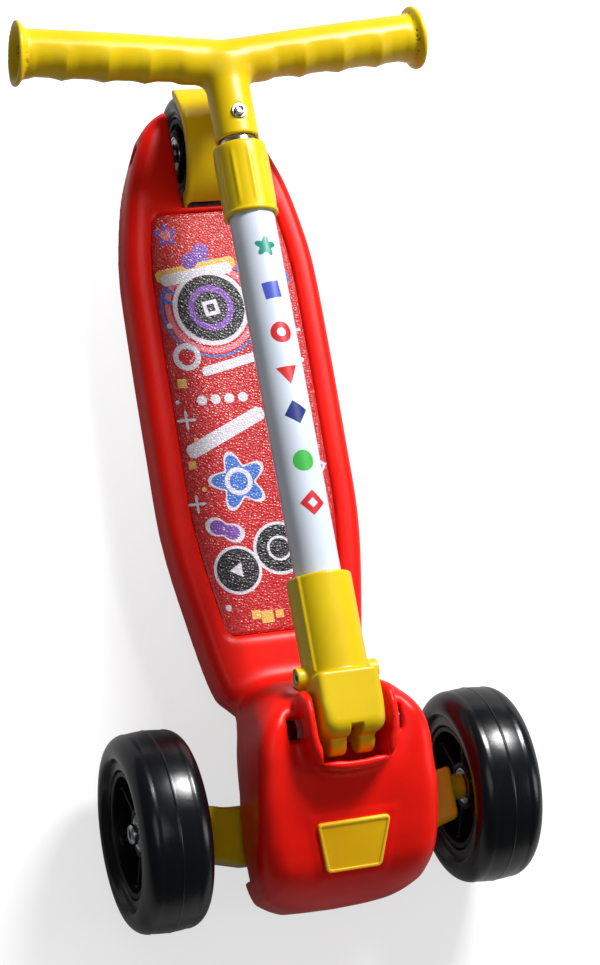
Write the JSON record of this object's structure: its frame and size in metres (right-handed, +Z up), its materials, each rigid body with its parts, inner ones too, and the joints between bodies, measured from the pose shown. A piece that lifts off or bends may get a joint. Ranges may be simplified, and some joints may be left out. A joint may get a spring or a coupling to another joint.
{
  "type": "three wheel kids scooter",
  "caption": "Folding kids scooter with a moulded deck and nose, steering front wheels, rear wheel with foot brake, telescoping stem and T handle, folded on its wheels",
  "frame": {"origin": "middle of the footprint on the floor", "axes": "+Z up, -Y the way the rider faces, +X the rider's left; the stem is folded back over the deck"},
  "size_m": [0.2656, 0.5508, 0.156],
  "materials": {
    "red_plastic": "moulded, glossy",
    "deck_print": "pebbled clear coat over a print",
    "badge_plastic": "moulded, glossy",
    "yellow_plastic": "moulded, satin gloss",
    "wheel_black": "cast urethane, glossy",
    "black_plastic": "moulded",
    "rubber": "moulded",
    "white_tube": "gloss paint",
    "steel": "zinc plated"
  },
  "bodies": {
    "deck": {"deck_shell": "red_plastic", "deck_mat": "deck_print", "nose_badge": "badge_plastic", "fold_bolt": "steel", "fold_nut": "steel", "kingpin": "steel", "steering_plate": "black_plastic", "plate_screw_1": "steel", "plate_screw_2": "steel", "plate_screw_3": "steel", "plate_screw_4": "steel", "latch_spring": "steel", "brake_pin": "steel", "brake_spring": "steel", "rear_axle_bolt": "steel", "rear_axle_nut": "steel", "rear_left_spacer": "steel", "rear_right_spacer": "steel"},
    "front_axle": {"axle_beam": "yellow_plastic", "upper_bush": "rubber", "lower_bush": "rubber", "left_wheel_spacer": "steel", "left_wheel_axle_bolt": "steel", "left_wheel_axle_nut": "steel", "right_wheel_spacer": "steel", "right_wheel_axle_bolt": "steel", "right_wheel_axle_nut": "steel"},
    "left_front_wheel": {"left_wheel_tyre": "wheel_black", "left_wheel_hub": "black_plastic", "left_wheel_outer_bearing": "steel", "left_wheel_inner_bearing": "steel"},
    "right_front_wheel": {"right_wheel_tyre": "wheel_black", "right_wheel_hub": "black_plastic", "right_wheel_outer_bearing": "steel", "right_wheel_inner_bearing": "steel"},
    "rear_wheel": {"rear_tyre": "wheel_black", "rear_hub": "black_plastic", "rear_left_bearing": "steel", "rear_right_bearing": "steel"},
    "brake": {"brake_fender": "yellow_plastic"},
    "stem": {"fold_block": "yellow_plastic", "stem_bolt": "steel", "stem_nut": "steel", "stem_tube": "white_tube", "clamp_ring": "black_plastic"},
    "collar": {"stem_collar": "yellow_plastic"},
    "handlebar": {"inner_tube": "steel", "t_handle": "yellow_plastic", "handle_bolt": "steel", "handle_washer": "steel", "handle_nut": "steel"},
    "latch": {"fold_latch": "black_plastic"}
  },
  "joints": [
    {"name": "steering", "type": "hinge", "parent": "deck", "child": "front_axle", "pos_m": [0, -0.22642, 0.052], "axis": [0, -0.4226, 0.9063], "range_deg": [-10, 10], "stiffness_Nm_per_rad": 20},
    {"name": "left_wheel_spin", "type": "hinge", "parent": "front_axle", "child": "left_front_wheel", "pos_m": [0.1034, -0.21442, 0.06], "axis": [1, 0, 0], "continuous": true},
    {"name": "right_wheel_spin", "type": "hinge", "parent": "front_axle", "child": "right_front_wheel", "pos_m": [-0.1034, -0.21442, 0.06], "axis": [1, 0, 0], "continuous": true},
    {"name": "rear_wheel_spin", "type": "hinge", "parent": "deck", "child": "rear_wheel", "pos_m": [0, 0.21708, 0.038], "axis": [1, 0, 0], "continuous": true},
    {"name": "brake_press", "type": "hinge", "parent": "deck", "child": "brake", "pos_m": [0, 0.17408, 0.042], "axis": [-1, 0, 0], "range_deg": [0, 3], "stiffness_Nm_per_rad": 1, "springref_deg": -4.98},
    {"name": "fold", "type": "hinge", "parent": "deck", "child": "stem", "pos_m": [0, -0.17442, 0.134], "axis": [1, 0, 0], "range_deg": [0, 82]},
    {"name": "collar_twist", "type": "hinge", "parent": "stem", "child": "collar", "pos_m": [0, -0.17442, 0.134], "axis": [0, 0.9995, -0.0314], "range_deg": [0, 90]},
    {"name": "height_slide", "type": "slide", "parent": "stem", "child": "handlebar", "axis": [0, 0.9995, -0.0314], "range_m": [0, 0.14]},
    {"name": "latch_pull", "type": "slide", "parent": "deck", "child": "latch", "axis": [0, 0, -1], "range_m": [0, 0.005], "stiffness_N_per_m": 800, "springref_m": -0.003, "deforming": ["latch_spring"]}
  ]
}
